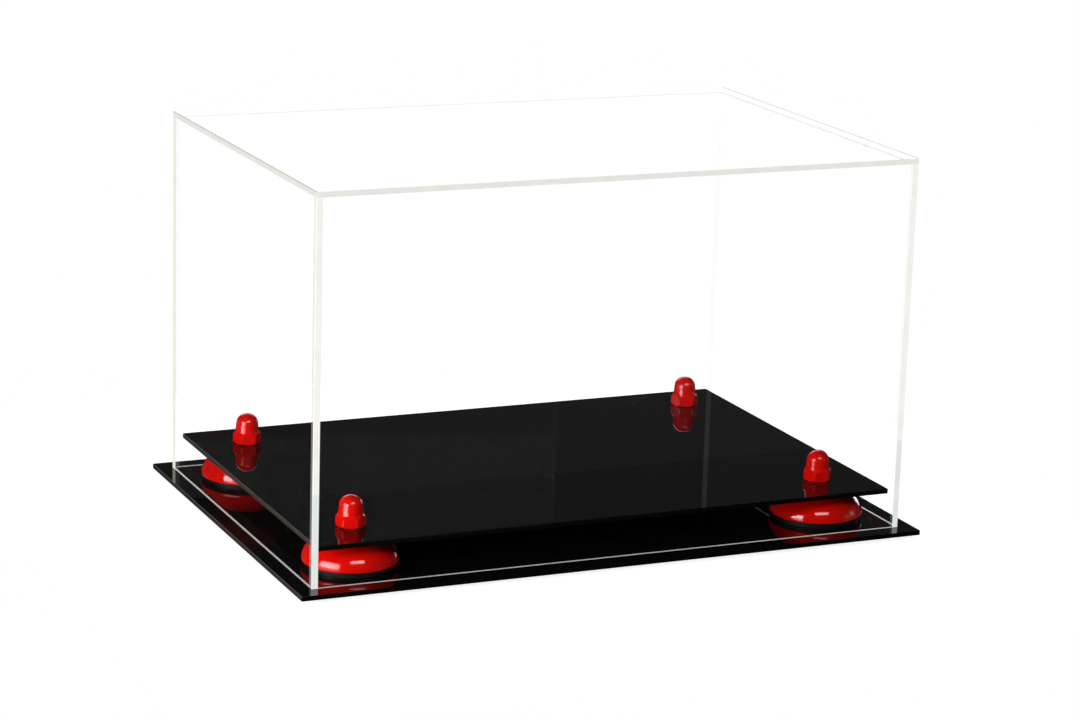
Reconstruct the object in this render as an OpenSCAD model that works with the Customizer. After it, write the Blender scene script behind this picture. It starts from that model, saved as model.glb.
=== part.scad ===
// Display case for a football, a glove or a similar collectible.
// A clear cover of five welded panels stands on a black base plate. Inside it four domed
// risers carry a raised platform. At each corner one screw, put in from below, clamps base
// plate, riser and platform together, and its nut is hidden by a hexagonal cap.
// Millimetres, +X to the right, -Y to the front, +Z up. The origin is the centre of the
// footprint, on the table.

/* [Cover] */
// Outside width of the clear cover
cover_w = 320; // [280:1:380]
// Outside depth of the clear cover
cover_d = 218.4; // [190:0.1:260]
// Outside height of the clear cover, from the base plate to the top
cover_h = 192.9; // [120:0.1:260]
// Thickness of the cover's sheet
panel_t = 3; // [2:0.1:5]
// Rounding of the cover's four upright corners
cover_corner_r = 0.8; // [0.3:0.1:1.8]

/* [Base plate] */
// How far the base plate shows beyond the cover at the left and right
base_margin_x = 8.1; // [4:0.1:20]
// How far the base plate shows beyond the cover at the front and back
base_margin_y = 9.4; // [4:0.1:20]
// Thickness of the base plate's sheet
base_t = 2.4; // [2:0.1:6]
// Rounding of the corners of base plate and platform
plate_corner_r = 0.6; // [0.3:0.1:3]

/* [Platform] */
// Gap between the platform's ends and the cover's side panels
platform_gap_x = 1.25; // [0.5:0.05:6]
// Gap between the platform's long edges and the front and back panels
platform_gap_y = 1.2; // [0.5:0.05:6]
// Thickness of the platform's sheet
platform_t = 2.4; // [2:0.1:6]
// Distance of each post's axis from the two nearest platform edges
post_inset = 27; // [26:0.5:60]

/* [Risers] */
// Height of the space between base plate and platform
riser_h = 17.1; // [12:0.1:40]
// Diameter of the riser at its widest circle
riser_d = 48; // [40:0.5:52]
// Height of the widest circle above the dome's lip
rim_rise = 0.8; // [0.6:0.1:4]
// How far the lip curls in under the widest circle
lip_curl = 0.4; // [0.2:0.1:2]
// Diameter of the flat on top of the dome
land_d = 15; // [10:0.5:20]
// Wall of the moulded dome
riser_wall = 2; // [1.2:0.1:3]
// Number of ribs inside the dome
rib_count = 6; // [3:1:12]
// Thickness of each rib
rib_t = 1.6; // [1:0.1:2.4]
// Diameter of the post inside the dome that takes the clamping load
boss_d = 12.6; // [10:0.1:14]

/* [Riser seats] */
// Height of the black seat ring under the dome
seat_h = 2.5; // [1.5:0.1:5]
// How far the seat ring is set back under the dome's lip
seat_setback = 1.2; // [0:0.1:1.5]
// Height of the rim on the seat that centres the dome
spigot_h = 1.6; // [0.8:0.1:3]
// Thickness of that rim
spigot_t = 2; // [1:0.1:3]
// Gap between that rim and the inside of the dome's lip
spigot_gap = 0.2; // [0.1:0.05:0.5]

/* [Nut caps] */
// Height of the cap over the platform
cap_h = 15.8; // [14.5:0.1:24]
// Width across the flats of the cap's hexagon
cap_af = 13.2; // [13.1:0.1:15]
// Height of the cap's hexagon
cap_hex_h = 6.2; // [6:0.1:8.5]
// Height of the chamfer under each corner of the cap's hexagon
cap_chamfer = 1.1; // [0.5:0.1:1.8]
// Height of the slope from each corner of the cap's hexagon up to its dome
cap_shoulder = 1.7; // [0.8:0.1:2.4]
// Diameter of the dome on the cap, where it leaves the hexagon
cap_dome_d = 12.6; // [11.6:0.1:12.7]
// Diameter of the dome where its rounded part starts
cap_crown_d = 11.6; // [9:0.1:12.4]
// Height of the rounded part of that dome
cap_crown_h = 4.9; // [3:0.1:8]
// Gap between the cap's socket and the nut, on each flat
socket_gap = 0.1; // [0.05:0.05:0.3]

/* [Screws and nuts] */
// Diameter of the screw's thread
thread_d = 6; // [4:0.1:6.5]
// Gap around the thread in each drilled hole
hole_gap = 0.3; // [0.2:0.05:0.6]
// Length of thread that stands out of the nut
screw_over = 3.1; // [1:0.1:5]
// Diameter of the screw's head
head_d = 13; // [10:0.1:16]
// Height of the screw's head, under the base plate
head_h = 2.4; // [1.5:0.1:2.6]
// Straight rim of the screw's head
head_rim = 0.5; // [0.3:0.1:0.8]
// Diameter of the cross recess in the head
recess_d = 5.6; // [4:0.1:6.5]
// Depth of the cross recess in the head
recess_depth = 1.8; // [1:0.1:2.4]
// Width across the flats of the nut
nut_af = 10; // [9:0.1:11]
// Height of the nut
nut_h = 5; // [4:0.1:5.6]

/* [Feet] */
// Diameter of a foot where it sticks to the base plate
foot_d = 9.5; // [7:0.1:14]
// Diameter of the flat that a foot stands on
foot_flat_d = 6; // [3:0.1:6.8]
// Height of a foot
foot_h = 3; // [2.8:0.1:8]
// Distance of each foot's axis from the base plate's edges
foot_inset = 12.5; // [8:0.5:18]

/* [Hidden] */
$fn = 96;
cut = 1;                      // extra length of a cutting body beyond the face it cuts
arc_steps = 14;               // points along each curved stretch of a turned outline
cavity_steps = 6;             // the same inside the dome
skirt_steps = 3;              // the same below the dome's widest circle
rib_gap = 0.4;                // between the ribs and the rim on the seat
thread_gap = 0.05;            // between the screw and its nut
face_inset = 0.2;             // of a hexagon's round end faces, from its flats
socket_top_gap = 0.2;         // between the nut and the roof of its socket
tip_gap = 0.9;                // between the screw's tip and the roof of the cap's bore
tip_chamfer = 0.7;            // of the screw's tip
slot_w = 1.3;                 // width of one slot of the cross recess
nut_chamfer = 0.7;            // of the nut's corners
cover_alpha = 0.25;           // how clear the panels look

clear = "#dfe7ea";
black = "#1c191a";
red = "#d4120c";
steel = "#b9bcbf";
rubber = "#2a2a2a";

// Plan sizes
base_w = cover_w + 2 * base_margin_x;
base_d = cover_d + 2 * base_margin_y;
platform_w = cover_w - 2 * (panel_t + platform_gap_x);
platform_d = cover_d - 2 * (panel_t + platform_gap_y);
post_x = platform_w / 2 - post_inset;
post_y = platform_d / 2 - post_inset;
foot_x = base_w / 2 - foot_inset;
foot_y = base_d / 2 - foot_inset;

// Levels above the table
base_top = foot_h + base_t;
platform_z = base_top + riser_h;
platform_top = platform_z + platform_t;
wall_h = cover_h - panel_t;

// Riser: its dome is half an ellipse above the widest circle and part of another below it
dome_z = base_top + seat_h;
dome_h = riser_h - seat_h;
riser_r = riser_d / 2;
lip_r = riser_r - lip_curl;
crown_rise = (dome_h - rim_rise) / sqrt(1 - pow(land_d / riser_d, 2));
skirt_drop = rim_rise / sqrt(1 - pow(lip_r / riser_r, 2));
spigot_r = lip_r - riser_wall - spigot_gap;
seat_r = lip_r - seat_setback;

// Fasteners
hole_d = thread_d + 2 * hole_gap;
screw_l = base_t + riser_h + platform_t + nut_h + screw_over;
head_dome_h = head_h - head_rim;
head_dome_r = (pow(head_d / 2, 2) + pow(head_dome_h, 2)) / (2 * head_dome_h);

// Each corner: its name, its side in X and in Y, and how far its cap is turned, in degrees
CORNERS = [
    ["front_left", -1, -1, -21],
    ["front_right", 1, -1, -7],
    ["back_left", -1, 1, -12],
    ["back_right", 1, 1, -15]
];
PANELS = ["cover_top", "cover_front", "cover_back", "cover_left", "cover_right"];
PLATES = ["base_plate", "platform"];
CORNER_PARTS = ["foot", "screw", "riser_seat", "riser", "nut", "nut_cap"];

function corner_node(part, corner) = str(part, "_", corner[0]);

// ---- shared shapes ----

module rounded_rect(w, d, r) {
    square([w - 2 * r, d], center = true);
    square([w, d - 2 * r], center = true);
    for (sx = [-1, 1], sy = [-1, 1])
        translate([sx * (w / 2 - r), sy * (d / 2 - r)]) circle(r);
}

module at_post(corner, z) {
    translate([corner[1] * post_x, corner[2] * post_y, z]) children();
}

// A plate cut from sheet, with a hole for the screw at each post
module drilled_plate(w, d, t, z) {
    difference() {
        translate([0, 0, z]) linear_extrude(t) rounded_rect(w, d, plate_corner_r);
        for (corner = CORNERS)
            at_post(corner, z - cut) cylinder(h = t + 2 * cut, d = hole_d);
    }
}

// A hexagonal bar whose corners are turned off at both ends
module turned_hexagon(af, h, lower, upper) {
    corner_r = af / sqrt(3);
    face_r = af / 2 - face_inset;
    intersection() {
        cylinder(h = h, r = corner_r, $fn = 6);
        rotate_extrude() polygon([
            [0, 0], [face_r, 0], [corner_r, lower],
            [corner_r, h - upper], [face_r, h], [0, h]
        ]);
    }
}

// ---- cover ----

// The wall panels are cut from one rounded outline, so that they make its four corners
module wall_panel(x, y, w, d) {
    color(clear, cover_alpha) translate([0, 0, base_top]) linear_extrude(wall_h) intersection() {
        rounded_rect(cover_w, cover_d, cover_corner_r);
        translate([x, y]) square([w, d], center = true);
    }
}

// Front and back run the full width, and the sides fit between them
module cover_front() {
    wall_panel(0, -(cover_d - panel_t) / 2, cover_w, panel_t);
}

module cover_back() {
    wall_panel(0, (cover_d - panel_t) / 2, cover_w, panel_t);
}

module cover_left() {
    wall_panel(-(cover_w - panel_t) / 2, 0, panel_t, cover_d - 2 * panel_t);
}

module cover_right() {
    wall_panel((cover_w - panel_t) / 2, 0, panel_t, cover_d - 2 * panel_t);
}

module cover_top() {
    color(clear, cover_alpha) translate([0, 0, base_top + wall_h])
        linear_extrude(panel_t) rounded_rect(cover_w, cover_d, cover_corner_r);
}

// ---- plates ----

module base_plate() {
    color(black) drilled_plate(base_w, base_d, base_t, foot_h);
}

module platform() {
    color(black) drilled_plate(platform_w, platform_d, platform_t, platform_z);
}

// ---- risers ----

// Outline of the dome from its lip to its flat top, drawn in by inset all round
function skirt_points(inset) = [
    for (i = [0:skirt_steps]) let (z = rim_rise * i / skirt_steps)
        [riser_r * sqrt(1 - pow((rim_rise - z) / skirt_drop, 2)) - inset, z]
];
function crown_points(inset, steps) = let (top = asin((dome_h - inset - rim_rise) / (crown_rise - inset))) [
    for (i = [1:steps]) let (a = top * i / steps)
        [(riser_r - inset) * cos(a), rim_rise + (crown_rise - inset) * sin(a)]
];

function dome_outline(inset, steps) = concat(
    skirt_points(inset), crown_points(inset, steps), [[0, dome_h - inset]]
);

// The hollow under the dome, around its load-bearing post and between its ribs
module dome_cavity() {
    outline = dome_outline(riser_wall, cavity_steps);
    difference() {
        rotate_extrude() polygon(concat([[0, -cut], [outline[0][0], -cut]], outline));
        translate([0, 0, spigot_h]) cylinder(h = dome_h, d = boss_d);
        for (i = [0:rib_count - 1])
            rotate((i + 0.5) * 360 / rib_count)
                translate([hole_d / 2, -rib_t / 2, spigot_h + rib_gap]) cube([riser_r, rib_t, dome_h]);
    }
}

module dome() {
    difference() {
        rotate_extrude() polygon(concat([[0, 0]], dome_outline(0, arc_steps)));
        dome_cavity();
        translate([0, 0, -cut]) cylinder(h = dome_h + 2 * cut, d = hole_d);
    }
}

module riser(corner) {
    color(red) at_post(corner, dome_z) dome();
}

// The seat carries the dome's lip on its outer shoulder and its post on the middle boss
module riser_seat(corner) {
    color(black) at_post(corner, base_top) difference() {
        union() {
            cylinder(h = seat_h, r = seat_r);
            cylinder(h = seat_h + spigot_h, r = spigot_r);
        }
        translate([0, 0, seat_h]) difference() {
            cylinder(h = spigot_h + cut, r = spigot_r - spigot_t);
            translate([0, 0, -cut]) cylinder(h = spigot_h + 3 * cut, d = boss_d);
        }
        translate([0, 0, -cut]) cylinder(h = seat_h + spigot_h + 2 * cut, d = hole_d);
    }
}

// ---- fasteners ----

module cross_slots() {
    for (a = [0, 90])
        rotate(a) translate([-recess_d / 2, -slot_w / 2, 0])
            cube([recess_d, slot_w, recess_depth + cut]);
}

// A low domed head with a straight rim and a tapered cross recess
module screw_head() {
    difference() {
        intersection() {
            cylinder(h = head_h, d = head_d);
            translate([0, 0, head_dome_r]) sphere(head_dome_r);
        }
        translate([0, 0, -cut]) intersection() {
            cylinder(h = recess_depth + cut, d1 = recess_d, d2 = slot_w);
            cross_slots();
        }
    }
}

module screw(corner) {
    color(steel) at_post(corner, foot_h - head_h) {
        screw_head();
        translate([0, 0, head_h]) rotate_extrude() polygon([
            [0, -cut / 2], [thread_d / 2, -cut / 2], [thread_d / 2, screw_l - tip_chamfer],
            [thread_d / 2 - tip_chamfer, screw_l], [0, screw_l]
        ]);
    }
}

module nut(corner) {
    color(steel) at_post(corner, platform_top) rotate(corner[3]) difference() {
        turned_hexagon(nut_af, nut_h, nut_chamfer, nut_chamfer);
        translate([0, 0, -cut]) cylinder(h = nut_h + 2 * cut, d = thread_d + 2 * thread_gap);
    }
}

// The cap's outline above the hexagon: a neck with a little draft, then half an ellipse
module cap_dome() {
    neck_top = cap_h - cap_crown_h;
    rotate_extrude() polygon(concat(
        [[0, cap_hex_h - cut], [cap_dome_d / 2, cap_hex_h - cut]],
        [for (i = [0:arc_steps]) let (a = 90 * i / arc_steps)
            [cap_crown_d / 2 * cos(a), neck_top + cap_crown_h * sin(a)]]
    ));
}

module nut_cap(corner) {
    socket_af = nut_af + 2 * socket_gap;
    color(red) at_post(corner, platform_top) rotate(corner[3]) difference() {
        union() {
            turned_hexagon(cap_af, cap_hex_h, cap_chamfer, cap_shoulder);
            cap_dome();
        }
        translate([0, 0, -cut])
            cylinder(h = nut_h + socket_top_gap + cut, r = socket_af / sqrt(3), $fn = 6);
        cylinder(h = nut_h + screw_over + tip_gap, d = hole_d);
    }
}

// ---- feet ----

module foot(corner) {
    flat_r = foot_flat_d / 2;
    color(rubber) translate([corner[1] * foot_x, corner[2] * foot_y, 0]) rotate_extrude() polygon(concat(
        [[0, 0]],
        [for (i = [0:arc_steps]) let (a = 90 * i / arc_steps)
            [flat_r + (foot_d / 2 - flat_r) * sin(a), foot_h * (1 - cos(a))]],
        [[0, foot_h]]
    ));
}

// ---- parts ----

cover_top();
cover_front();
cover_back();
cover_left();
cover_right();
base_plate();
platform();
for (corner = CORNERS) {
    foot(corner);
    screw(corner);
    riser_seat(corner);
    riser(corner);
    nut(corner);
    nut_cap(corner);
}
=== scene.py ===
"""Display case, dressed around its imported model.

A clear lift-off cover, two black plates, four red risers with hexagonal caps, black seats
and rubber feet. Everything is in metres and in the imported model's own frame.
"""

import math

import bmesh
import bpy
from mathutils import Matrix, Vector


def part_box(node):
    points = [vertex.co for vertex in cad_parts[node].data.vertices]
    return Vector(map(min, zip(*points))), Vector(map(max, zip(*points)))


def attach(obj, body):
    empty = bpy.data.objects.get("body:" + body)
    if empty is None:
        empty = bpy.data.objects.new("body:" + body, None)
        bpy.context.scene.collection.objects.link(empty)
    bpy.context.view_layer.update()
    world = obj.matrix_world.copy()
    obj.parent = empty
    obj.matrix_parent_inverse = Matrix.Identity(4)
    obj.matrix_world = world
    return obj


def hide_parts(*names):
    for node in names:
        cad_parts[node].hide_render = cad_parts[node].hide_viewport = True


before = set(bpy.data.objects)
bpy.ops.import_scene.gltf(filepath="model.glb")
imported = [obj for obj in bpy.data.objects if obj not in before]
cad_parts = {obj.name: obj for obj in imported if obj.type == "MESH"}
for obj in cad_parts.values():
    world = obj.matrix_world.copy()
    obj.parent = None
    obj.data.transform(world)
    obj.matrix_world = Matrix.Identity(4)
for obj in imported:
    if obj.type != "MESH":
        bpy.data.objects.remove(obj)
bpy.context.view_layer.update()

bl_info = {
    "name": "Display case",
    "version": (1, 0, 0),
    "blender": (4, 5, 0),
    "location": "View3D > Sidebar > Display case",
    "description": "Builds the clear cover, plates, risers, caps and feet of a display case",
    "category": "Object",
}

MM = 0.001
SAME_POINT = 1e-7  # points of a turned shape this near each other are merged
CLOSE = 0.01 * MM  # places nearer to each other than this are taken as one
FLAT_FACE = 12 * MM * MM  # a larger face is flat sheet or a hexagon's side, and is shaded flat
SHARP = math.radians(35)  # faces that meet at more than this angle keep a sharp edge
# How much of a face's normal lies along an axis, for a face that leans that way, that looks
# mostly that way, or that looks straight that way.
LEANING, MOSTLY, SQUARE = 0.02, 0.5, 0.99
CORNERS = ("front_left", "front_right", "back_left", "back_right")
PANELS = ("cover_top", "cover_front", "cover_back", "cover_left", "cover_right")
SIDES = ("cover_left", "cover_right")


def linear(hex_colour, alpha=None):
    """The linear colour of an sRGB hex value, with alpha as a fourth number where it is given."""
    channels = [int(hex_colour[i : i + 2], 16) / 255 for i in (1, 3, 5)]
    rgb = [c / 12.92 if c <= 0.04045 else ((c + 0.055) / 1.055) ** 2.4 for c in channels]
    return tuple(rgb) if alpha is None else (*rgb, alpha)


# ---- settings ----


class CoverSettings(bpy.types.PropertyGroup):
    corner_round: bpy.props.FloatProperty(
        name="Corner rounding",
        description="Radius of the cover's upright corners",
        default=0.5 * MM,
        unit="LENGTH",
    )
    top_round: bpy.props.FloatProperty(
        name="Top rounding",
        description="Radius of the polished edge round the top panel",
        default=0.5 * MM,
        unit="LENGTH",
    )
    # The sawn strip is a painted bright line, a glow standing in for light that leaves the upright
    # panels' sawn bottom edges.
    sawn_strip: bpy.props.FloatProperty(
        name="Sawn strip",
        description="Width of the bright line under the upright panels",
        default=1.3 * MM,
        unit="LENGTH",
    )
    # The edge, rim, joint, low joint and cut colours are emitted: a painted glow on the cover's
    # edges, bands and lines that stands in for light carried through the sheets.
    edge_colour: bpy.props.FloatVectorProperty(
        name="Edge colour",
        description="Colour of the light that leaves the top panel's cut edges",
        subtype="COLOR",
        default=linear("#E9E8E3"),
    )
    rim_colour: bpy.props.FloatVectorProperty(
        name="Rim colour",
        description="Colour of the top panel's rounded ends, the sawn line and the weld lines",
        subtype="COLOR",
        default=linear("#C6C5BF"),
    )
    joint_colour: bpy.props.FloatVectorProperty(
        name="Joint colour",
        description="Colour of the bright bands over the front welds",
        subtype="COLOR",
        default=linear("#F8F5F0"),
    )
    # Below the low joint height the bands take a painted darker, cooler tint that stands in for the
    # black plates seen past them.
    low_joint_colour: bpy.props.FloatVectorProperty(
        name="Low joint colour",
        description="Colour of the same bands beside the black plates",
        subtype="COLOR",
        default=linear("#E3E8E8"),
    )
    cut_colour: bpy.props.FloatVectorProperty(
        name="Cut end colour",
        description="Colour of the back panel's ends and of the bands beside them",
        subtype="COLOR",
        default=linear("#EFEFE2"),
    )
    weld_gap: bpy.props.FloatProperty(
        name="Weld gap",
        description="Thickness of the solvent weld between two panels",
        default=0.02 * MM,
        unit="LENGTH",
    )
    # The joint and cut bands are painted bright bands: glow that stands in for light coming through
    # the welds.
    joint_band: bpy.props.FloatProperty(
        name="Joint band",
        description="Width of the bright bands at both ends of the front panel",
        default=3.3 * MM,
        unit="LENGTH",
    )
    cut_band: bpy.props.FloatProperty(
        name="Cut band",
        description="Width of the bright bands on the side panels beside the back panel's ends",
        default=2.2 * MM,
        unit="LENGTH",
    )
    low_joint: bpy.props.FloatProperty(
        name="Low joint height",
        description="Height up to which the bands over the front welds take the cooler colour",
        default=52 * MM,
        unit="LENGTH",
    )


class PlateSettings(bpy.types.PropertyGroup):
    edge_round: bpy.props.FloatProperty(
        name="Edge rounding",
        description="Radius of the polished edges of base plate and platform",
        default=0.12 * MM,
        unit="LENGTH",
    )
    corner_round: bpy.props.FloatProperty(
        name="Corner rounding",
        description="Radius of the plates' upright corners",
        default=0.6 * MM,
        unit="LENGTH",
    )
    hole: bpy.props.FloatProperty(
        name="Screw hole",
        description="Diameter of the holes for the screws",
        default=6.6 * MM,
        unit="LENGTH",
    )
    colour: bpy.props.FloatVectorProperty(
        name="Black",
        description="Colour of the black sheet",
        subtype="COLOR",
        default=linear("#0B0909"),
    )
    # The milled edge colour is partly painted reflection: lighter than the sheet to stand in for
    # the bright table the ends mirror.
    edge_colour: bpy.props.FloatVectorProperty(
        name="Milled edge",
        description="Colour of the black sheet's milled edges",
        subtype="COLOR",
        default=linear("#38322E"),
    )


class RiserSettings(bpy.types.PropertyGroup):
    rim_rise: bpy.props.FloatProperty(
        name="Rim height",
        description="Height of the widest circle above the lip",
        default=0.8 * MM,
        unit="LENGTH",
    )
    lip_curl: bpy.props.FloatProperty(
        name="Lip curl",
        description="How far the lip curls in under the widest circle",
        default=0.4 * MM,
        unit="LENGTH",
    )
    land: bpy.props.FloatProperty(
        name="Land",
        description="Diameter of the flat top that carries the platform",
        default=15 * MM,
        unit="LENGTH",
    )
    wall: bpy.props.FloatProperty(
        name="Wall",
        description="Thickness of the moulded dome",
        default=2 * MM,
        unit="LENGTH",
    )
    boss: bpy.props.FloatProperty(
        name="Boss",
        description="Diameter of the post inside the dome",
        default=12.6 * MM,
        unit="LENGTH",
    )
    bore: bpy.props.FloatProperty(
        name="Bore",
        description="Diameter of the screw's hole through the post",
        default=6.6 * MM,
        unit="LENGTH",
    )
    post_foot: bpy.props.FloatProperty(
        name="Post foot",
        description="Height of the post's foot above the dome's lip",
        default=1.6 * MM,
        unit="LENGTH",
    )
    colour: bpy.props.FloatVectorProperty(
        name="Red",
        description="Colour of the moulded risers and caps",
        subtype="COLOR",
        default=linear("#D60A04"),
    )


class CapSettings(bpy.types.PropertyGroup):
    flats: bpy.props.FloatProperty(
        name="Across flats",
        description="Width of the hexagon across its flats",
        default=13.2 * MM,
        unit="LENGTH",
    )
    hexagon_height: bpy.props.FloatProperty(
        name="Hexagon height",
        description="Height of the hexagon under the dome",
        default=6.2 * MM,
        unit="LENGTH",
    )
    chamfer: bpy.props.FloatProperty(
        name="Chamfer",
        description="Height of the chamfer under the hexagon's corners",
        default=1.1 * MM,
        unit="LENGTH",
    )
    shoulder: bpy.props.FloatProperty(
        name="Shoulder",
        description="Height of the slope from the hexagon's corners up to the dome",
        default=1.7 * MM,
        unit="LENGTH",
    )
    edge_round: bpy.props.FloatProperty(
        name="Edge rounding",
        description="Radius of the moulded hexagon's edges",
        default=0.4 * MM,
        unit="LENGTH",
    )
    end_inset: bpy.props.FloatProperty(
        name="End inset",
        description="How far the hexagon's round ends stay inside its flats",
        default=0.2 * MM,
        unit="LENGTH",
    )
    dome: bpy.props.FloatProperty(
        name="Dome",
        description="Diameter of the dome where it leaves the hexagon",
        default=12.6 * MM,
        unit="LENGTH",
    )
    dome_root: bpy.props.FloatProperty(
        name="Dome root",
        description="How far under the hexagon's top the dome starts to narrow",
        default=1 * MM,
        unit="LENGTH",
    )
    crown_width: bpy.props.FloatProperty(
        name="Crown",
        description="Diameter of the dome where its rounded part starts",
        default=11.6 * MM,
        unit="LENGTH",
    )
    crown: bpy.props.FloatProperty(
        name="Crown height",
        description="Height of the rounded part of the dome",
        default=4.9 * MM,
        unit="LENGTH",
    )


class FootSettings(bpy.types.PropertyGroup):
    flat: bpy.props.FloatProperty(
        name="Flat",
        description="Radius of the flat underside that each foot stands on",
        default=3 * MM,
        unit="LENGTH",
    )
    colour: bpy.props.FloatVectorProperty(
        name="Rubber",
        description="Colour of the moulded rubber",
        subtype="COLOR",
        default=linear("#232323"),
    )


class StageSettings(bpy.types.PropertyGroup):
    left_power: bpy.props.FloatProperty(
        name="Left light",
        description="Power of the low left soft box",
        default=1.0,
        unit="POWER",
    )
    front_power: bpy.props.FloatProperty(
        name="Front light",
        description="Power of the raised front soft box",
        default=8.2,
        unit="POWER",
    )
    right_power: bpy.props.FloatProperty(
        name="Right light",
        description="Power of the low soft box behind on the right",
        default=2.4,
        unit="POWER",
    )
    back_power: bpy.props.FloatProperty(
        name="Back light",
        description="Power of the soft box behind",
        default=3.0,
        unit="POWER",
    )


SETTINGS = {
    "display_case_cover": CoverSettings,
    "display_case_plates": PlateSettings,
    "display_case_risers": RiserSettings,
    "display_case_caps": CapSettings,
    "display_case_feet": FootSettings,
    "display_case_stage": StageSettings,
}


# ---- materials ----

ACRYLIC_IOR = 1.49
ABS_IOR = 1.53
RUBBER_IOR = 1.52
UPRIGHT_LINES = 0.05  # draws a pattern out along the height, so that its grain makes lines
TWO_FACES = 1.9  # what a sheet's two faces mirror together, against one of them
# A cut edge's colour is mostly emitted: a painted glow that stands in for light carried through the
# sheet and out at its edges.
PAINTED_GLOW = 0.93  # the share of a cut edge's colour that is light from inside the sheet


def add_node(tree, kind, inputs=None, **settings):
    """Adds one shader node, with its settings, and sets or links its inputs by name or number."""
    node = tree.nodes.new(kind)
    for name, value in settings.items():
        setattr(node, name, value)
    for name, value in (inputs or {}).items():
        if isinstance(value, bpy.types.NodeSocket):
            tree.links.new(value, node.inputs[name])
        else:
            node.inputs[name].default_value = value
    return node


def new_material(name):
    """An empty node material and its tree."""
    material = bpy.data.materials.new(name)
    material.use_nodes = True
    material.node_tree.nodes.clear()
    return material, material.node_tree


def set_surface(tree, shader):
    """Ends a material's tree with its surface."""
    add_node(tree, "ShaderNodeOutputMaterial", {"Surface": shader})


def mirror_share(tree):
    """What both faces of a polished sheet mirror, counted on the face met from outside."""
    side = add_node(tree, "ShaderNodeNewGeometry")
    one = add_node(tree, "ShaderNodeFresnel", {"IOR": ACRYLIC_IOR})
    both = add_node(
        tree,
        "ShaderNodeMath",
        {0: one.outputs[0], 1: TWO_FACES},
        operation="MULTIPLY",
        use_clamp=True,
    )
    share = add_node(
        tree,
        "ShaderNodeMix",
        {0: side.outputs["Backfacing"], 2: both.outputs[0], 3: 0.0},
        data_type="FLOAT",
    )
    return share.outputs[0]


def clear_acrylic():
    """Cast acrylic sheet, polished by the casting glass: seen through, with a crisp mirror."""
    material, tree = new_material("cast_acrylic_clear")
    share = mirror_share(tree)
    see = add_node(tree, "ShaderNodeBsdfTransparent", {"Color": (1, 1, 1, 1)})
    mirror = add_node(tree, "ShaderNodeBsdfGlossy", {"Color": (1, 1, 1, 1), "Roughness": 0.01})
    gloss = add_node(tree, "ShaderNodeMixShader", {0: share, 2: mirror.outputs[0]})
    both = add_node(tree, "ShaderNodeAddShader", {0: see.outputs[0], 1: gloss.outputs[0]})
    set_surface(tree, both.outputs[0])
    return material


def edge_acrylic(name, colour, see=0.0, one_sided=False, low=None, height=0.0):
    """Cut edge of cast acrylic, with a painted glow: its emission stands in for light caught in the
    sheet that leaves here, so it is pale and even.

    See is the share that is seen straight through. A one-sided edge is as clear as the faces from
    inside the sheet. Low is the colour up to a height, where the edge looks on to black plates: a
    painted darker, cooler tint that stands in for the plates seen past it.
    Its streaks, 9 mm long, are the saw's and the polisher's unevenness.
    """
    material, tree = new_material(name)
    place = add_node(tree, "ShaderNodeTexCoord").outputs["Object"]
    if low is None:
        paint = colour
    else:
        # Painted tint: up to the height, the colour turns to the low one, standing in for the black
        # plates seen past the edge.
        up = add_node(tree, "ShaderNodeSeparateXYZ", {0: place})
        rise = add_node(
            tree,
            "ShaderNodeMapRange",
            {"Value": up.outputs["Z"], "From Min": height - MM, "From Max": height + MM},
        )
        paint = add_node(
            tree,
            "ShaderNodeMix",
            {0: rise.outputs[0], 6: (*low, 1), 7: (*colour, 1)},
            data_type="RGBA",
        ).outputs[2]
    streak = add_node(tree, "ShaderNodeTexNoise", {"Vector": place, "Scale": 1 / (9 * MM)})
    level = add_node(
        tree, "ShaderNodeMapRange", {"Value": streak.outputs[0], "To Min": 0.93, "To Max": 1.05}
    )
    tint = add_node(
        tree, "ShaderNodeVectorMath", {0: paint, 1: level.outputs[0]}, operation="MULTIPLY"
    )
    surface = add_node(
        tree,
        "ShaderNodeBsdfPrincipled",
        {
            "Base Color": (*(c * (1 - PAINTED_GLOW) for c in colour), 1),
            "Roughness": 0.3,
            "IOR": ACRYLIC_IOR,
            "Emission Color": tint.outputs[0],
            "Emission Strength": PAINTED_GLOW,
        },
    )
    shader = surface.outputs[0]
    if see or one_sided:
        clear = add_node(tree, "ShaderNodeBsdfTransparent", {"Color": (1, 1, 1, 1)})
        share = see
        if one_sided:
            share = add_node(tree, "ShaderNodeNewGeometry").outputs["Backfacing"]
        shader = add_node(
            tree, "ShaderNodeMixShader", {0: share, 1: shader, 2: clear.outputs[0]}
        ).outputs[0]
    set_surface(tree, shader)
    return material


def black_acrylic(colour):
    """Black cast acrylic with its casting gloss: a clean mirror over a deep brown-black.

    The haze, 60 mm across, is what the casting glass leaves uneven. The IOR is matched a little
    under the clear sheet's.
    """
    material, tree = new_material("cast_acrylic_black")
    place = add_node(tree, "ShaderNodeTexCoord")
    haze = add_node(
        tree,
        "ShaderNodeTexNoise",
        {"Vector": place.outputs["Object"], "Scale": 1 / (60 * MM), "Detail": 3.0},
    )
    rough = add_node(
        tree,
        "ShaderNodeMapRange",
        {"Value": haze.outputs[0], "To Min": 0.008, "To Max": 0.02},
    )
    surface = add_node(
        tree,
        "ShaderNodeBsdfPrincipled",
        {"Base Color": (*colour, 1), "Roughness": rough.outputs[0], "IOR": 1.42},
    )
    set_surface(tree, surface.outputs[0])
    return material


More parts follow.
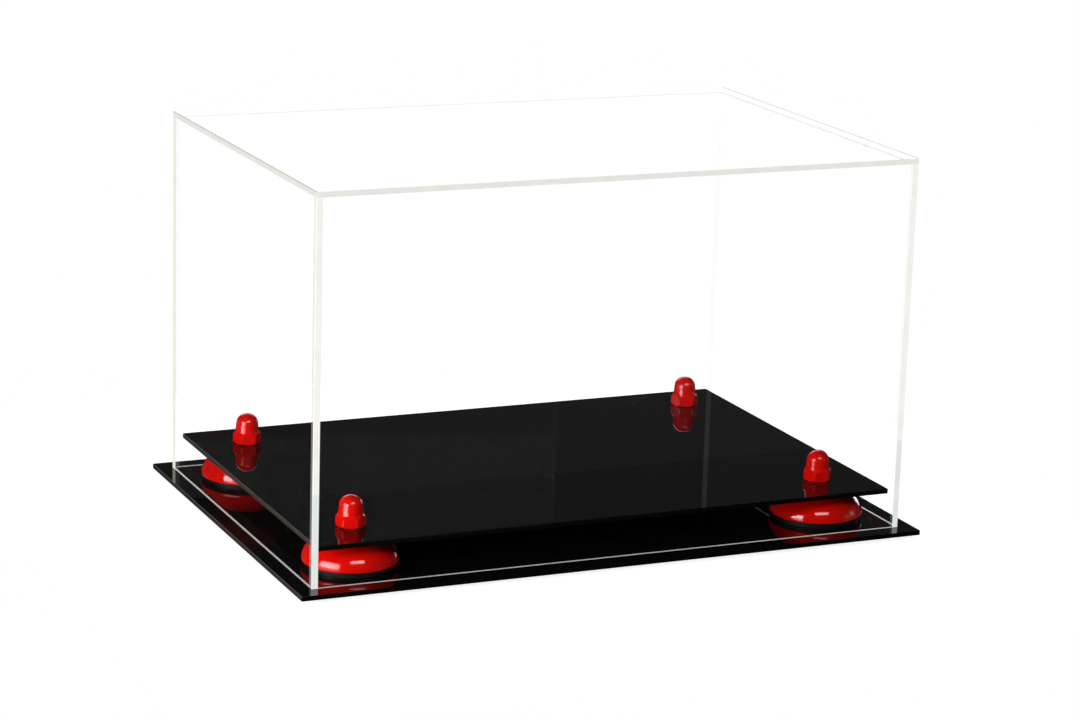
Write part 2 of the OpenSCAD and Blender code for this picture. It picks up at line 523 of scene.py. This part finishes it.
def black_acrylic_edge(colour):
    """Milled edge of black sheet: satin brown-grey, partly its own satin finish and partly a
    painted reflection of the bright table beside it, with fine upright cutter lines.

    The lines are 0.7 mm apart, coarser than a cutter's, so that they show.
    """
    material, tree = new_material("cast_acrylic_black_milled_edge_and_painted_reflection")
    place = add_node(tree, "ShaderNodeTexCoord")
    across = add_node(
        tree,
        "ShaderNodeMapping",
        {"Vector": place.outputs["Object"], "Scale": (1, 1, UPRIGHT_LINES)},
    )
    cuts = add_node(
        tree,
        "ShaderNodeTexNoise",
        {"Vector": across.outputs[0], "Scale": 1 / (0.7 * MM), "Detail": 2.0},
    )
    bump = add_node(
        tree,
        "ShaderNodeBump",
        {"Height": cuts.outputs[0], "Strength": 0.25, "Distance": 0.05 * MM},
    )
    surface = add_node(
        tree,
        "ShaderNodeBsdfPrincipled",
        {
            "Base Color": (*colour, 1),
            "Roughness": 0.38,
            "IOR": ACRYLIC_IOR,
            "Normal": bump.outputs[0],
        },
    )
    set_surface(tree, surface.outputs[0])
    return material


def moulded(name, colour, ior, roughness, grain, detail, bump, depth, specular=0.5):
    """A moulded surface: one even colour under a skin with a grain of a size and a depth."""
    material, tree = new_material(name)
    place = add_node(tree, "ShaderNodeTexCoord")
    skin = add_node(
        tree,
        "ShaderNodeTexNoise",
        {"Vector": place.outputs["Object"], "Scale": 1 / grain, "Detail": detail},
    )
    relief = add_node(
        tree,
        "ShaderNodeBump",
        {"Height": skin.outputs[0], "Strength": bump, "Distance": depth},
    )
    surface = add_node(
        tree,
        "ShaderNodeBsdfPrincipled",
        {
            "Base Color": (*colour, 1),
            "Roughness": roughness,
            "Specular IOR Level": specular,
            "IOR": ior,
            "Normal": relief.outputs[0],
        },
    )
    set_surface(tree, surface.outputs[0])
    return material


def red_abs(name, colour, roughness):
    """Gloss injection-moulded ABS: an even, deep red under a crisp skin with mould ripple."""
    return moulded(
        name, colour, ABS_IOR, roughness, grain=5 * MM, detail=2.0, bump=0.05, depth=0.1 * MM
    )


def black_abs():
    """Injection-moulded ABS from a spark-eroded mould: matt and fine-grained, so it stays dark."""
    return moulded(
        "moulded_abs_black_matt", linear("#0A090A"), ABS_IOR, 0.55,
        grain=0.4 * MM, detail=3.0, bump=0.4, depth=0.05 * MM, specular=0.2,
    )


def foot_rubber(colour):
    """Moulded rubber: matt, near black, with a fine skin texture."""
    return moulded(
        "moulded_rubber", colour, RUBBER_IOR, 0.6,
        grain=0.6 * MM, detail=2.0, bump=0.3, depth=0.1 * MM,
    )


def zinc_steel():
    """Zinc-plated turned steel: a pale, slightly blue, satin metal, uneven over 1.5 mm."""
    material, tree = new_material("zinc_plated_steel")
    place = add_node(tree, "ShaderNodeTexCoord")
    grain = add_node(
        tree,
        "ShaderNodeTexNoise",
        {"Vector": place.outputs["Object"], "Scale": 1 / (1.5 * MM), "Detail": 4.0},
    )
    rough = add_node(
        tree, "ShaderNodeMapRange", {"Value": grain.outputs[0], "To Min": 0.22, "To Max": 0.38}
    )
    surface = add_node(
        tree,
        "ShaderNodeBsdfPrincipled",
        {"Base Color": linear("#C3C8CC", 1), "Metallic": 1.0, "Roughness": rough.outputs[0]},
    )
    set_surface(tree, surface.outputs[0])
    return material


# ---- mesh helpers ----


def released(mesh, name):
    """The mesh data of a finished bmesh, with its faces pointing outwards. The bmesh is used up."""
    data = bpy.data.meshes.new(name)
    bmesh.ops.recalc_face_normals(mesh, faces=mesh.faces)
    mesh.to_mesh(data)
    mesh.free()
    return data


def placed(name, data):
    """A new object in the scene, at the origin."""
    ob = bpy.data.objects.new(name, data)
    bpy.context.scene.collection.objects.link(ob)
    return ob


def finish_piece(mesh, name, body, node, materials, sharp=SHARP):
    """Makes the bmesh an object that stands for a node and rides on its body, and hides the node's
    imported piece.

    Large flat faces are shaded flat, so that they mirror without a bend.
    """
    data = released(mesh, name)
    for material in materials:
        data.materials.append(material)
    data.shade_smooth()
    data.set_sharp_from_angle(angle=sharp)
    for face in data.polygons:
        if face.area > FLAT_FACE:
            face.use_smooth = False
    piece = placed(name, data)
    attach(piece, body)
    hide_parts(node)


def coat(node, material):
    """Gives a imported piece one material."""
    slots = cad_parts[node].data.materials
    slots.clear()
    slots.append(material)


def block(low, high):
    """A bmesh box between two corners."""
    mesh = bmesh.new()
    size, centre = high - low, (high + low) / 2
    bmesh.ops.create_cube(mesh, size=1.0)
    bmesh.ops.scale(mesh, vec=size, verts=mesh.verts)
    bmesh.ops.translate(mesh, vec=centre, verts=mesh.verts)
    return mesh


def bevel(mesh, edges, width, segments):
    """Rounds edges to a radius."""
    bmesh.ops.bevel(
        mesh,
        geom=edges,
        offset=width,
        offset_type="OFFSET",
        affect="EDGES",
        segments=segments,
        profile=0.5,
        material=-1,
    )


def spun(outline, centre, steps=96):
    """A closed outline of (radius, height) points, turned about the upright through centre."""
    mesh = bmesh.new()
    verts = [mesh.verts.new((r, 0, z)) for r, z in outline]
    edges = [mesh.edges.new((a, b)) for a, b in zip(verts, verts[1:] + verts[:1])]
    bmesh.ops.spin(
        mesh,
        geom=verts + edges,
        cent=(0, 0, 0),
        axis=(0, 0, 1),
        dvec=(0, 0, 0),
        angle=2 * math.pi,
        steps=steps,
        use_merge=True,
        use_duplicate=False,
    )
    bmesh.ops.remove_doubles(mesh, verts=mesh.verts, dist=SAME_POINT)
    bmesh.ops.translate(mesh, vec=centre, verts=mesh.verts)
    return mesh


def middle(node):
    """The middle of a node's lowest face."""
    low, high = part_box(node)
    return Vector(((low.x + high.x) / 2, (low.y + high.y) / 2, low.z))


def combined(mesh, other, operation):
    """The bmesh of mesh cut by, met with or joined to other. Both bmeshes are used up."""
    ob, tool = placed("work", released(mesh, "work")), placed("tool", released(other, "tool"))
    modifier = ob.modifiers.new("combine", "BOOLEAN")
    modifier.operation, modifier.object, modifier.solver = operation, tool, "EXACT"
    result = bmesh.new()
    result.from_object(ob, bpy.context.evaluated_depsgraph_get())
    for used in (ob, tool):
        data = used.data
        bpy.data.objects.remove(used)
        bpy.data.meshes.remove(data)
    if not result.faces:
        raise RuntimeError(f"the {operation.lower()} left nothing")
    return result


def faces_along(face, axis):
    """True if a face looks along an axis, either way."""
    return abs(face.normal[axis]) > MOSTLY


def along(edge):
    """The axis that an edge runs along: 0, 1 or 2."""
    way = edge.verts[1].co - edge.verts[0].co
    return max(range(3), key=lambda axis: abs(way[axis]))


def outer(point, low, high, axes):
    """True if the point lies on the outside of the box from low to high, on each of the axes."""
    return all(min(point[i] - low[i], high[i] - point[i]) < CLOSE for i in axes)


def slice_faces(mesh, faces, place, normal):
    """Cuts some faces of a bmesh along a plane."""
    edges = dict.fromkeys(e for f in faces for e in f.edges)
    verts = dict.fromkeys(v for f in faces for v in f.verts)
    bmesh.ops.bisect_plane(mesh, geom=[*faces, *edges, *verts], plane_co=place, plane_no=normal)


def ellipse(radius, height, start, stop, steps):
    """Points on an ellipse, as (radius, height) pairs, from one angle to another in degrees."""
    for i in range(steps + 1):
        a = math.radians(start + (stop - start) * i / steps)
        yield radius * math.cos(a), height * math.sin(a)


# ---- operators ----

# The kinds of face on the cover, numbered in the order of its materials. Every kind but clear takes
# a painted glow that stands in for light carried through the sheets.
KINDS = (
    "clear",  # the large faces, and the inner part of the sawn edge
    "edge",  # the top panel's cut edges
    "sawn",  # the line along the outer side of the edge that the upright panels stand on
    "rim",  # the top panel's rounded ends
    "joint",  # the bands over the front welds, and the front panel's rounded corners
    "end",  # the front panel's ends
    "weld",  # the upright panels' upper edges, welded to the top panel
    "cut",  # the back panel's ends and rounded corners, and the bands beside them
    "seam",  # the side panels' ends, inside the welds
)
FACES = {kind: number for number, kind in enumerate(KINDS)}


class DISPLAYCASE_OT_cover(bpy.types.Operator):
    """Build the five clear panels, with clear faces, and cut edges, bands and weld lines given a
    painted glow.
    """

    bl_idname = "display_case.cover"
    bl_label = "Cover"

    def kind(self, node, face, thin):
        """The kind of a face of a panel that is thin along one axis."""
        if faces_along(face, thin):
            return "clear"
        if node == "cover_top":
            return "edge"
        if faces_along(face, 2):
            return "sawn" if face.normal.z < 0 else "weld"
        if node in SIDES:
            return "seam"
        return "cut" if node == "cover_back" else "end"

    def panel(self, settings, node, low, high):
        """One panel, whose faces have the numbers of their kinds, and the axis it is thin along.

        Low and high are the corners of the whole cover.
        """
        corners = [corner.copy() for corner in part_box(node)]
        size = corners[1] - corners[0]
        thin = min(range(3), key=lambda axis: size[axis])
        if node != "cover_top":
            corners[1].z -= settings.weld_gap
        if node in SIDES:
            corners[0].y += settings.weld_gap
            corners[1].y -= settings.weld_gap
        mesh = block(*corners)
        for face in mesh.faces:
            face.normal_update()
            face.material_index = FACES[self.kind(node, face, thin)]
        if node == "cover_top":
            self.round_top(settings, mesh, high)
        elif node not in SIDES:
            self.round_corners(settings, mesh, node, low, high)
        return mesh, thin

    def round_top(self, settings, mesh, high):
        """Rounds the top panel's upright corners and the edge round its upper face."""
        upright = [e for e in mesh.edges if along(e) == 2]
        bevel(mesh, upright, settings.corner_round, 3)
        rim = [e for e in mesh.edges if all(abs(v.co.z - high.z) < CLOSE for v in e.verts)]
        bevel(mesh, rim, settings.top_round, 3)
        for face in mesh.faces:
            face.normal_update()
            if abs(face.normal.x) > LEANING and LEANING < face.normal.z < SQUARE:
                face.material_index = FACES["rim"]

    def round_corners(self, settings, mesh, node, low, high):
        """Rounds the cover's upright corners on the front or back panel."""
        upright = [
            e
            for e in mesh.edges
            if along(e) == 2 and all(outer(v.co, low, high, (0, 1)) for v in e.verts)
        ]
        bevel(mesh, upright, settings.corner_round, 3)
        for face in mesh.faces:
            face.normal_update()
            if abs(face.normal.x) > LEANING and abs(face.normal.y) > LEANING:
                face.material_index = FACES["cut" if node == "cover_back" else "joint"]

    def bands(self, settings, mesh, node, low, high):
        """Marks where a weld shows through the panel before it, as a painted bright band that
        stands in for the light the weld carries.
        """
        if node == "cover_front":
            start = (high.x - low.x) / 2 - settings.joint_band
            for way in (-1, 1):
                self.mark(mesh, (0, -1, 0), (way, 0, 0), start, "joint")
        elif node in SIDES:
            way = -1 if node == "cover_left" else 1
            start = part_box(node)[1].y - settings.cut_band
            self.mark(mesh, (way, 0, 0), (0, 1, 0), start, "cut")

    def mark(self, mesh, facing, toward, start, kind):
        """Gives a kind to the part of the clear faces facing one way that lies past a line."""
        facing, toward = Vector(facing), Vector(toward)
        clear = FACES["clear"]
        faces = [
            f for f in mesh.faces if f.material_index == clear and f.normal.dot(facing) > SQUARE
        ]
        slice_faces(mesh, faces, toward * start, toward)
        for face in mesh.faces:
            face.normal_update()
            if face.material_index == clear and face.normal.dot(facing) > SQUARE:
                if face.calc_center_median().dot(toward) > start:
                    face.material_index = FACES[kind]

    def strip(self, settings, mesh, thin, low, high):
        """Narrows the painted bright glow of the sawn bottom edge to a line along its outer side.
        """
        bottom = [f for f in mesh.faces if f.material_index == FACES["sawn"]]
        centre = sum((f.calc_center_median() for f in bottom), Vector()) / len(bottom)
        outside, inward = (low, 1) if centre[thin] < 0 else (high, -1)
        cut, normal = centre.copy(), Vector()
        cut[thin] = outside[thin] + inward * settings.sawn_strip
        normal[thin] = inward
        slice_faces(mesh, bottom, cut, normal)
        for face in mesh.faces:
            if face.material_index == FACES["sawn"]:
                if (face.calc_center_median() - cut)[thin] * inward > 0:
                    face.material_index = FACES["clear"]

    def execute(self, context):
        settings = context.scene.display_case_cover
        edge, rim = tuple(settings.edge_colour), tuple(settings.rim_colour)
        joint, low_joint = tuple(settings.joint_colour), tuple(settings.low_joint_colour)
        cut = tuple(settings.cut_colour)
        # Every finish but the clear one glows: painted light that stands in for light carried
        # through the sheets.
        finishes = {
            "clear": clear_acrylic(),
            "edge": edge_acrylic("cast_acrylic_polished_edge_painted_glow", edge, one_sided=True),
            "sawn": edge_acrylic("cast_acrylic_sawn_edge_painted_glow", rim),
            "rim": edge_acrylic("cast_acrylic_rounded_rim_painted_glow", rim),
            "joint": edge_acrylic(
                "cast_acrylic_welded_end_painted_glow",
                joint,
                one_sided=True,
                low=low_joint,
                height=settings.low_joint,
            ),
            "end": edge_acrylic("cast_acrylic_polished_end_painted_glow", rim, see=0.72),
            "weld": edge_acrylic("cast_acrylic_weld_seam_painted_glow", rim, see=0.3),
            "cut": edge_acrylic("cast_acrylic_cut_end_painted_glow", cut, one_sided=True),
            "seam": edge_acrylic("cast_acrylic_seam_painted_glow", rim, see=0.9),
        }
        materials = [finishes[kind] for kind in KINDS]
        low = Vector(map(min, zip(*(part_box(node)[0] for node in PANELS))))
        high = Vector(map(max, zip(*(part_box(node)[1] for node in PANELS))))
        for node in PANELS:
            mesh, thin = self.panel(settings, node, low, high)
            if node != "cover_top":
                self.strip(settings, mesh, thin, low, high)
                self.bands(settings, mesh, node, low, high)
            finish_piece(mesh, f"clear_{node}", "cover", node, materials)
        return {"FINISHED"}


DRILL_LENGTH = 20 * MM  # reaches through a plate from its underside


class DISPLAYCASE_OT_plates(bpy.types.Operator):
    """Build the base plate and the platform, with rounded edges and drilled holes."""

    bl_idname = "display_case.plates"
    bl_label = "Plates"

    def drill(self, settings, node, corner):
        """The drill for one screw, with its middle on the plate's underside."""
        x, y, _ = middle(f"screw_{corner}")
        tool = bmesh.new()
        bmesh.ops.create_cone(
            tool,
            cap_ends=True,
            segments=48,
            radius1=settings.hole / 2,
            radius2=settings.hole / 2,
            depth=DRILL_LENGTH,
            matrix=Matrix.Translation((x, y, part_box(node)[0].z)),
        )
        return tool

    def execute(self, context):
        settings = context.scene.display_case_plates
        black = black_acrylic(tuple(settings.colour))
        milled = black_acrylic_edge(tuple(settings.edge_colour))
        for node, slot in (("base_plate", "base_black"), ("platform", "platform_black")):
            mesh = block(*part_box(node))
            bevel(mesh, [e for e in mesh.edges if along(e) == 2], settings.corner_round, 4)
            bevel(mesh, [e for e in mesh.edges if along(e) != 2], settings.edge_round, 2)
            for corner in CORNERS:
                mesh = combined(mesh, self.drill(settings, node, corner), "DIFFERENCE")
            # The ends, left and right, show their milled finish in a lighter satin brown-grey,
            # partly a painted reflection of the bright table beside them. The long edges look
            # black.
            for face in mesh.faces:
                face.normal_update()
                end = faces_along(face, 0) and face.calc_area() > FLAT_FACE
                face.material_index = int(end)
            finish_piece(mesh, f"black_{node}", "stand", node, [black, milled])
        return {"FINISHED"}


class DISPLAYCASE_OT_risers(bpy.types.Operator):
    """Build the four red domes, and make the seats under them black."""

    bl_idname = "display_case.risers"
    bl_label = "Risers"

    def outline(self, settings, node):
        """The dome's cross-section: outer skin, top land, bore, post, then the inner skin."""
        low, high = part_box(node)
        radius, height = (high.x - low.x) / 2, high.z - low.z
        rim, wall = settings.rim_rise, settings.wall
        crown = (height - rim) / math.sqrt(1 - (settings.land / 2 / radius) ** 2)
        lip = radius - settings.lip_curl
        skirt = rim / math.sqrt(1 - (lip / radius) ** 2)
        lip_angle = -math.degrees(math.asin(rim / skirt))
        top_angle = math.degrees(math.asin((height - rim) / crown))
        roof_angle = math.degrees(math.asin((height - wall - rim) / (crown - wall)))
        skin = [
            *ellipse(radius, skirt, lip_angle, 0, 8),
            *list(ellipse(radius, crown, 0, top_angle, 24))[1:],
        ]
        inside = [
            *ellipse(radius - wall, crown - wall, roof_angle, 0, 12),
            *[(r - wall, z) for r, z in list(ellipse(radius, skirt, 0, lip_angle, 6))[1:]],
        ]
        bore, post, foot = settings.bore / 2, settings.boss / 2, settings.post_foot
        return [
            *[(r, z + rim) for r, z in skin],
            *[(bore, height), (bore, foot), (post, foot), (post, height - wall)],
            *[(r, z + rim) for r, z in inside],
        ]

    def execute(self, context):
        settings = context.scene.display_case_risers
        red = red_abs("moulded_abs_red", tuple(settings.colour), roughness=0.05)
        black = black_abs()
        for corner in CORNERS:
            node = f"riser_{corner}"
            mesh = spun(self.outline(settings, node), middle(node))
            finish_piece(mesh, f"red_{node}", "stand", node, [red])
            coat(f"riser_seat_{corner}", black)
        return {"FINISHED"}


CAP_SHARP = math.radians(28)  # keeps the edges between a cap's hexagon and its slopes
CREATED_TURN = 30  # degrees from x to the nearest corner of a hexagon as it is created


class DISPLAYCASE_OT_caps(bpy.types.Operator):
    """Build the four red caps: a turned hexagon under a round dome."""

    bl_idname = "display_case.caps"
    bl_label = "Nut caps"

    def turn(self, node):
        """How far the node's hexagon is turned, found from its outermost corner."""
        centre = middle(node).xy
        points = (v.co.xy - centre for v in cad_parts[node].data.vertices)
        far = max(points, key=lambda point: point.length)
        return math.atan2(far.y, far.x) - math.radians(CREATED_TURN)

    def hexagon(self, settings, turn):
        """The hexagon with rounded upright edges, its ends cut to a cone below and above."""
        height, corner = settings.hexagon_height, settings.flats / math.sqrt(3)
        end = settings.flats / 2 - settings.end_inset
        cones = spun(
            [
                *[(0, 0), (end, 0), (corner, settings.chamfer)],
                *[(corner, height - settings.shoulder), (end, height), (0, height)],
            ],
            Vector(),
        )
        prism = bmesh.new()
        bmesh.ops.create_cone(
            prism,
            cap_ends=True,
            segments=6,
            radius1=corner,
            radius2=corner,
            depth=height * 2,
            matrix=Matrix.Rotation(turn, 4, "Z"),
        )
        bevel(prism, [e for e in prism.edges if along(e) == 2], settings.edge_round, 3)
        return combined(cones, prism, "INTERSECT")

    def dome(self, settings, height):
        """The dome, from inside the hexagon up to the cap's full height."""
        hexagon, radius = settings.hexagon_height, settings.dome / 2
        neck = height - settings.crown
        crown = ellipse(settings.crown_width / 2, settings.crown, 0, 90, 24)
        return spun(
            [
                *[(0, hexagon / 2), (radius, hexagon / 2), (radius, hexagon - settings.dome_root)],
                *[(r, neck + z) for r, z in crown],
            ],
            Vector(),
        )

    def execute(self, context):
        settings = context.scene.display_case_caps
        colour = tuple(context.scene.display_case_risers.colour)
        red = red_abs("moulded_abs_red_cap", colour, roughness=0.12)
        for corner in CORNERS:
            node = f"nut_cap_{corner}"
            low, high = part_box(node)
            hexagon = self.hexagon(settings, self.turn(node))
            mesh = combined(hexagon, self.dome(settings, high.z - low.z), "UNION")
            bmesh.ops.translate(mesh, vec=middle(node), verts=mesh.verts)
            finish_piece(mesh, f"red_{node}", "stand", node, [red], CAP_SHARP)
        return {"FINISHED"}


class DISPLAYCASE_OT_fasteners(bpy.types.Operator):
    """Give the screws and nuts their zinc-plated steel."""

    bl_idname = "display_case.fasteners"
    bl_label = "Screws and nuts"

    def execute(self, context):
        steel = zinc_steel()
        for kind in ("screw", "nut"):
            for corner in CORNERS:
                coat(f"{kind}_{corner}", steel)
        return {"FINISHED"}


class DISPLAYCASE_OT_feet(bpy.types.Operator):
    """Build the four rubber feet, round from a small flat up to the base plate."""

    bl_idname = "display_case.feet"
    bl_label = "Feet"

    def execute(self, context):
        settings = context.scene.display_case_feet
        rubber, flat = foot_rubber(tuple(settings.colour)), settings.flat
        for corner in CORNERS:
            node = f"foot_{corner}"
            low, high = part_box(node)
            radius, height = (high.x - low.x) / 2, high.z - low.z
            side = [(flat + r, height + z) for r, z in ellipse(radius - flat, height, -90, 0, 16)]
            mesh = spun([(0, 0), *side, (0, height)], middle(node), 64)
            finish_piece(mesh, f"rubber_{node}", "stand", node, [rubber])
        return {"FINISHED"}


# ---- stage ----

# Where the camera stands, the point it looks at, its roll, and its lens and film in millimetres.
CAMERA_PLACE = Vector((-0.6687, -1.5006, 0.4980))
CAMERA_TARGET = Vector((0.0045, 0.0, 0.0789))
CAMERA_ROLL = math.radians(1.771)
CAMERA_LENS = 108.84
CAMERA_FILM = 36

TABLE_HALF = 0.27  # half the table's side
TABLE_DROP = 0.1 * MM  # keeps the table's top clear of the feet
TABLE_LIGHT = 0.9  # what the table adds to its own white, to meet the background
SEEN_WHITE = 1.0  # the world's strength to the eye and through clear pieces
MIRRORED_GREY = 0.03  # its strength to gloss, so that the black plates stay black
AMBIENT = 0.025  # its strength to matt surfaces
FRONT_LEFT_RISER = (-0.129, -0.078, 0.03)  # the left soft box is turned to it


def soft_box(name, power, azimuth, elevation, distance, width, height, spread=180, aim=(0, 0, 0)):
    """A rectangular soft box placed about the origin and turned to its aim.

    Azimuth runs from the front to the right. It, elevation and spread are in degrees. A spread
    under 180 is that of a grid before the box.
    """
    data = bpy.data.lights.new(name, "AREA")
    data.shape, data.size, data.size_y, data.energy = "RECTANGLE", width, height, power
    data.spread = math.radians(spread)
    turn, rise = math.radians(azimuth), math.radians(elevation)
    flat = math.cos(rise)
    away = Vector((math.sin(turn) * flat, -math.cos(turn) * flat, math.sin(rise)))
    box = placed(name, data)
    box.location = away * distance
    box.rotation_euler = (box.location - Vector(aim)).to_track_quat("Z", "Y").to_euler()


def seen_ray(tree, path):
    """1 for the eye's rays, and for those that come through a clear piece."""
    seen = add_node(
        tree,
        "ShaderNodeMath",
        {0: path.outputs["Is Camera Ray"], 1: path.outputs["Is Transmission Ray"]},
        operation="MAXIMUM",
    )
    return seen.outputs[0]


class DISPLAYCASE_OT_stage(bpy.types.Operator):
    """Set the floor, world, soft boxes and camera."""

    bl_idname = "display_case.stage"
    bl_label = "Stage"

    def floor(self):
        """A white table that keeps the case's soft shadow. The soft boxes reach below its top."""
        mesh = bmesh.new()
        bmesh.ops.create_grid(mesh, x_segments=1, y_segments=1, size=TABLE_HALF)
        data = bpy.data.meshes.new("floor")
        mesh.to_mesh(data)
        mesh.free()
        material, tree = new_material("painted_board_white")
        path = add_node(tree, "ShaderNodeLightPath")
        matt = add_node(tree, "ShaderNodeBsdfDiffuse", {"Color": linear("#D8D8D8", 1)})
        dim = add_node(tree, "ShaderNodeBsdfDiffuse", {"Color": linear("#141414", 1)})
        white = add_node(tree, "ShaderNodeEmission", {"Strength": TABLE_LIGHT})
        lit = add_node(tree, "ShaderNodeAddShader", {0: matt.outputs[0], 1: white.outputs[0]})
        mixed = add_node(
            tree,
            "ShaderNodeMixShader",
            {0: seen_ray(tree, path), 1: dim.outputs[0], 2: lit.outputs[0]},
        )
        set_surface(tree, mixed.outputs[0])
        data.materials.append(material)
        floor = placed("floor", data)
        floor.location.z = -TABLE_DROP

    def world(self):
        """White to the eye and through clear pieces, and dim grey to gloss and matt surfaces."""
        world = bpy.data.worlds.new("studio")
        bpy.context.scene.world = world
        world.use_nodes = True
        tree = world.node_tree
        tree.nodes.clear()
        path = add_node(tree, "ShaderNodeLightPath")
        white, grey, soft = (
            add_node(tree, "ShaderNodeBackground", {"Color": (1, 1, 1, 1), "Strength": strength})
            for strength in (SEEN_WHITE, MIRRORED_GREY, AMBIENT)
        )
        unseen = add_node(
            tree,
            "ShaderNodeMixShader",
            {0: path.outputs["Is Glossy Ray"], 1: soft.outputs[0], 2: grey.outputs[0]},
        )
        mixed = add_node(
            tree,
            "ShaderNodeMixShader",
            {0: seen_ray(tree, path), 1: unseen.outputs[0], 2: white.outputs[0]},
        )
        add_node(tree, "ShaderNodeOutputWorld", {"Surface": mixed.outputs[0]})

    def camera(self):
        """A long lens, rolled a little, that looks down on the case from its front left."""
        data = bpy.data.cameras.new("camera")
        data.lens, data.sensor_width = CAMERA_LENS, CAMERA_FILM
        turn = (CAMERA_TARGET - CAMERA_PLACE).normalized().to_track_quat("-Z", "Y").to_matrix()
        turn = (turn @ Matrix.Rotation(CAMERA_ROLL, 3, "Z")).to_4x4()
        camera = placed("camera", data)
        camera.matrix_world = Matrix.Translation(CAMERA_PLACE) @ turn
        bpy.context.scene.camera = camera

    def execute(self, context):
        settings = context.scene.display_case_stage
        self.floor()
        self.world()
        self.camera()
        soft_box(
            "left_soft_box", settings.left_power, azimuth=-66.5, elevation=8, distance=0.66,
            width=0.46, height=0.34, spread=80, aim=FRONT_LEFT_RISER,
        )
        soft_box(
            "front_soft_box", settings.front_power, azimuth=-5, elevation=38, distance=1.7,
            width=0.9, height=0.4,
        )
        soft_box(
            "right_soft_box", settings.right_power, azimuth=122, elevation=5.6, distance=2,
            width=0.5, height=0.4,
        )
        soft_box(
            "back_soft_box", settings.back_power, azimuth=165, elevation=28, distance=1.5,
            width=1.2, height=0.4,
        )
        context.scene.view_settings.view_transform = "Standard"
        return {"FINISHED"}


class DISPLAYCASE_PT_panel(bpy.types.Panel):
    """Lists the builders of the display case in the sidebar."""

    bl_idname = "DISPLAYCASE_PT_panel"
    bl_label = "Display case"
    bl_space_type = "VIEW_3D"
    bl_region_type = "UI"
    bl_category = "Display case"

    def draw(self, context):
        for operator in OPERATORS:
            self.layout.operator(operator.bl_idname)
        for name, settings in SETTINGS.items():
            box = self.layout.box()
            for value in settings.__annotations__:
                box.prop(getattr(context.scene, name), value)


OPERATORS = (
    DISPLAYCASE_OT_cover,
    DISPLAYCASE_OT_plates,
    DISPLAYCASE_OT_risers,
    DISPLAYCASE_OT_caps,
    DISPLAYCASE_OT_fasteners,
    DISPLAYCASE_OT_feet,
    DISPLAYCASE_OT_stage,
)


def register():
    """Registers the classes and gives each scene its settings."""
    for cls in (*SETTINGS.values(), *OPERATORS, DISPLAYCASE_PT_panel):
        bpy.utils.register_class(cls)
    for name, settings in SETTINGS.items():
        setattr(bpy.types.Scene, name, bpy.props.PointerProperty(type=settings))


def unregister():
    """Takes the settings and the classes away again."""
    for name in SETTINGS:
        delattr(bpy.types.Scene, name)
    for cls in (DISPLAYCASE_PT_panel, *reversed(OPERATORS), *reversed(SETTINGS.values())):
        bpy.utils.unregister_class(cls)


def main():
    """Builds every piece and the stage."""
    register()
    for operator in OPERATORS:
        group, name = operator.bl_idname.split(".")
        getattr(getattr(bpy.ops, group), name)()


if __name__ == "__main__":
    main()
